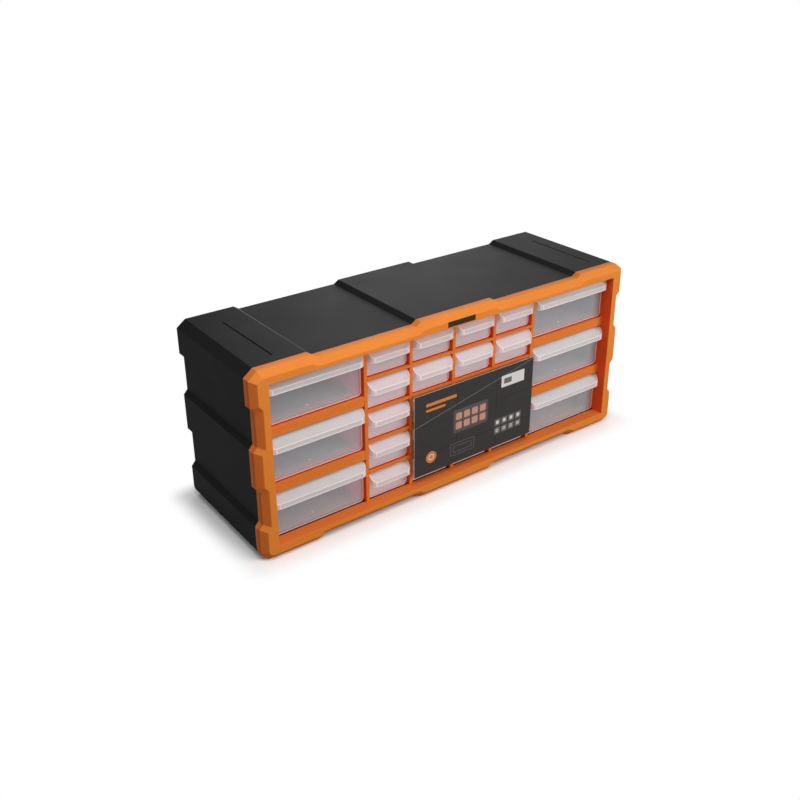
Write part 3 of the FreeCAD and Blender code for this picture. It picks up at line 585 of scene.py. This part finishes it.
def card_print():
    """Flat inks on a coated board, placed in millimetres from the card's lower left corner."""
    material, tree, output = new_material("printed_coated_board")
    place = add_node(tree, "ShaderNodeTexCoord").outputs["Object"]
    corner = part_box("card_column2_row1")[0]
    moved = add_node(tree, "ShaderNodeVectorMath", {1: (corner.x, 0.0, corner.z)}, {0: place},
                     operation="SUBTRACT").outputs[0]
    flat = add_node(tree, "ShaderNodeVectorMath", {1: (1.0 / MM, 0.0, 1.0 / MM)}, {0: moved},
                    operation="MULTIPLY").outputs[0]

    def shape(where, centre, size, radius, outline=0.0):
        """1 inside a rectangle with rounded corners, or on its outline only, and 0 elsewhere."""
        reach = (size[0] / 2 - radius, 1.0, size[1] / 2 - radius)
        apart = add_node(tree, "ShaderNodeVectorMath", {1: (centre[0], 0.0, centre[1])}, {0: where},
                         operation="SUBTRACT").outputs[0]
        apart = add_node(tree, "ShaderNodeVectorMath", links={0: apart}, operation="ABSOLUTE").outputs[0]
        apart = add_node(tree, "ShaderNodeVectorMath", {1: reach}, {0: apart},
                         operation="SUBTRACT").outputs[0]
        apart = add_node(tree, "ShaderNodeVectorMath", {1: (0.0, 0.0, 0.0)}, {0: apart},
                         operation="MAXIMUM").outputs[0]
        off = add_node(tree, "ShaderNodeVectorMath", links={0: apart}, operation="LENGTH").outputs["Value"]
        if outline:
            return add_node(tree, "ShaderNodeMath", {1: radius - outline / 2, 2: outline / 2}, {0: off},
                            operation="COMPARE").outputs[0]
        return add_node(tree, "ShaderNodeMath", {1: radius}, {0: off}, operation="LESS_THAN").outputs[0]

    mottle = add_node(tree, "ShaderNodeTexNoise", {"Scale": 1.0 / (MOTTLE_MM * MM), "Detail": 3.0},
                      {"Vector": place})
    ground = add_node(tree, "ShaderNodeMix", {"A": linear(CARD_GROUND), "B": linear(CARD_GROUND_PALER)},
                      {"Factor": mottle.outputs["Fac"]}, data_type="RGBA").outputs["Result"]
    slanted = add_node(tree, "ShaderNodeVectorRotate", {"Angle": CARD_SLANT, "Axis": (0.0, 1.0, 0.0)},
                       {"Vector": flat}, rotation_type="AXIS_ANGLE").outputs[0]
    inks = [
        (shape(slanted, (60.0, 62.0), (400.0, 1.0), 0.2), CARD_GREY),
        (shape(flat, (38.0, 88.0), (44.0, 4.0), 1.5), CARD_ORANGE),
        (shape(flat, (30.0, 81.0), (28.0, 3.0), 1.2), CARD_ORANGE),
        (shape(flat, (24.0, 20.0), (15.0, 15.0), 7.5), CARD_ORANGE),
        (shape(flat, (24.0, 20.0), (8.0, 8.0), 4.0, 1.2), CARD_PALE),
        (shape(flat, (146.0, 84.0), (36.0, 15.0), 0.8), CARD_PALE),
        (shape(flat, (138.0, 84.0), (12.0, 7.0), 1.0), CARD_GREY),
        (shape(flat, (82.0, 54.0), (52.0, 30.0), 3.0), CARD_DIM),
        (shape(flat, (70.0, 18.0), (36.0, 16.0), 2.0, 0.6), CARD_GREY),
        (shape(flat, (70.0, 18.0), (28.0, 8.0), 1.0, 0.6), CARD_GREY),
    ]
    for column in range(4):
        for row in range(2):
            tile = (64.0 + TILE_PITCH_MM * column, 60.0 - TILE_PITCH_MM * row)
            sign = (124.0 + SIGN_PITCH_MM * column, 32.0 - SIGN_PITCH_MM * row)
            inks.append((shape(flat, tile, (9.0, 9.0), 1.5), CARD_PINK))
            inks.append((shape(flat, sign, (9.0, 9.0), 1.0), CARD_GREY))
            inks.append((shape(flat, sign, (4.4, 4.4), 2.2 if row else 0.4, 1.0), CARD_PALE))
    colour = ground
    for mask, ink in inks:
        colour = add_node(tree, "ShaderNodeMix", {"B": linear(ink)}, {"Factor": mask, "A": colour},
                          data_type="RGBA").outputs["Result"]
    grained_surface(tree, output, place, colour, 0.35, 0.6, 0.03, values={"Specular IOR Level": 0.35})
    return material


# Coated board: flat, dense inks under a satin coat. Its cut edge shows the white, fibrous core.
board_print = card_print()
board_edge = moulded_plastic("cut_edge_of_white_board", CARD_CORE, roughness=0.7, grain_mm=0.4,
                             grain_height=0.2, spread=0.06)
card_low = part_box("card_column2_row1")[0]
card_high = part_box("card_column4_row3")[1]


def at_card_corner(point):
    across = min(abs(point.x - card_low.x), abs(point.x - card_high.x))
    up = min(abs(point.z - card_low.z), abs(point.z - card_high.z))
    return max(across, up) < CARD_EDGE_MM / 2 * MM


def on_card_edge(point):
    across = min(abs(point.x - card_low.x), abs(point.x - card_high.x))
    up = min(abs(point.z - card_low.z), abs(point.z - card_high.z))
    return min(across, up) < CARD_CORNER_MM * MM / 2


for node in sorted(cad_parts):
    if not node.startswith("card_"):
        continue
    card = eased_copy(node, "printed_" + node, CARD_EDGE_MM, 1)
    bpy.ops.object.mode_set(mode="EDIT")
    bpy.ops.mesh.select_all(action="DESELECT")
    bpy.ops.mesh.select_mode(type="EDGE")
    bpy.ops.object.mode_set(mode="OBJECT")
    points = card.data.vertices
    for edge in card.data.edges:
        edge.select = all(at_card_corner(points[number].co) for number in edge.vertices)
    bpy.ops.object.mode_set(mode="EDIT")
    bpy.ops.mesh.bevel(offset=CARD_CORNER_MM * MM, segments=6, affect="EDGES")
    bpy.ops.object.mode_set(mode="OBJECT")
    finish_piece(card, node, "small_drawer_" + node[len("card_"):], "printed_card", board_print, board_edge)
    set_slot(card, 1, lambda face: abs(face.normal.y) < 0.5 and on_card_edge(face.center))


# Floor and light: a white sweep in a studio. The key lamp hangs on the right in front, a smaller one over
# the front left edge, and two behind on the right give the black top its sheen and show the back.
FLOOR_SEEN = 1.25
FLOOR_LIT = "989898"
FLOOR_MIRRORED = 0.21
FLOOR_SIZE = 8.0
SHADOW_REACH_MM = 32.0
AMBIENT = 0.33
MIRRORED = 0.12
WHITE = (1.0, 1.0, 1.0, 1.0)

# White paper sweep: plain white to the camera but for the soft shadow close round the object.
floor_material, tree, output = new_material("white_sweep")
ray = add_node(tree, "ShaderNodeLightPath")
seen = add_node(tree, "ShaderNodeMath",
                links={0: ray.outputs["Is Camera Ray"], 1: ray.outputs["Is Glossy Ray"]},
                operation="MAXIMUM").outputs[0]
floor_tint = add_node(tree, "ShaderNodeMix", {"A": linear(FLOOR_LIT), "B": (FLOOR_SEEN,) * 3 + (1.0,)},
                      {"Factor": ray.outputs["Is Camera Ray"]}, data_type="RGBA")
floor_shader = add_node(tree, "ShaderNodeBsdfDiffuse", links={"Color": floor_tint.outputs["Result"]})
place = add_node(tree, "ShaderNodeTexCoord").outputs["Object"]
sides = add_node(tree, "ShaderNodeVectorMath", links={0: place}, operation="ABSOLUTE").outputs[0]
beyond = add_node(tree, "ShaderNodeVectorMath", {1: CAD_BOX[1]}, {0: sides},
                  operation="SUBTRACT").outputs[0]
beyond = add_node(tree, "ShaderNodeVectorMath", {1: (0.0, 0.0, 0.0)}, {0: beyond},
                  operation="MAXIMUM").outputs[0]
away = add_node(tree, "ShaderNodeVectorMath", links={0: beyond}, operation="LENGTH").outputs["Value"]
faded = add_node(tree, "ShaderNodeMapRange", {"From Max": SHADOW_REACH_MM * MM}, {"Value": away},
                 interpolation_type="SMOOTHSTEP").outputs["Result"]
faded = add_node(tree, "ShaderNodeMath", links={0: faded, 1: seen}, operation="MULTIPLY").outputs[0]
shine = add_node(tree, "ShaderNodeMapRange", {"To Min": FLOOR_MIRRORED, "To Max": 1.0},
                 {"Value": ray.outputs["Is Camera Ray"]})
white = add_node(tree, "ShaderNodeEmission", {"Color": WHITE}, {"Strength": shine.outputs["Result"]})
mixed = add_node(tree, "ShaderNodeMixShader",
                 links={0: faded, 1: floor_shader.outputs["BSDF"], 2: white.outputs["Emission"]})
tree.links.new(mixed.outputs["Shader"], output.inputs["Surface"])
deselect_all()
bpy.ops.mesh.primitive_plane_add(size=FLOOR_SIZE, location=(0.0, 0.0, 0.0))
floor = bpy.context.object
floor.name = "studio_floor"
floor.data.materials.append(floor_material)


def add_lamp(name, power, size, place, target=(0.0, 0.0, 0.1)):
    """A square area lamp, in watts and metres, turned towards its target."""
    lamp_data = bpy.data.lights.new(name, "AREA")
    lamp_data.energy = power
    lamp_data.size = size
    lamp = bpy.data.objects.new(name, lamp_data)
    lamp.location = place
    lamp.rotation_euler = (Vector(target) - Vector(place)).to_track_quat("-Z", "Y").to_euler()
    bpy.context.scene.collection.objects.link(lamp)


add_lamp("key_lamp", 6.9, 0.5, (0.75, -1.05, 0.5))
add_lamp("top_lamp", 2.3, 0.4, (-0.25, -0.42, 0.75), (-0.15, -0.1, 0.1))
add_lamp("back_lamp", 2.0, 1.0, (1.2, 1.3, 0.9))
add_lamp("rear_lamp", 2.2, 0.8, (1.0, 1.6, 0.5))

# The studio's walls: white to the camera and through the drawers, dimmer as light on the object.
world = bpy.data.worlds.new("studio")
bpy.context.scene.world = world
world.use_nodes = True
tree = world.node_tree
tree.nodes.clear()
seen = add_node(tree, "ShaderNodeLightPath")
shown = add_node(tree, "ShaderNodeMath",
                 links={0: seen.outputs["Is Camera Ray"], 1: seen.outputs["Is Transmission Ray"]},
                 operation="MAXIMUM")
unseen = add_node(tree, "ShaderNodeMapRange", {"To Min": AMBIENT, "To Max": MIRRORED},
                  {"Value": seen.outputs["Is Glossy Ray"]})
strength = add_node(tree, "ShaderNodeMapRange", {"To Max": 1.0},
                    {"Value": shown.outputs[0], "To Min": unseen.outputs["Result"]})
sky = add_node(tree, "ShaderNodeBackground", {"Color": WHITE}, {"Strength": strength.outputs["Result"]})
add_node(tree, "ShaderNodeOutputWorld", links={"Surface": sky.outputs["Background"]})
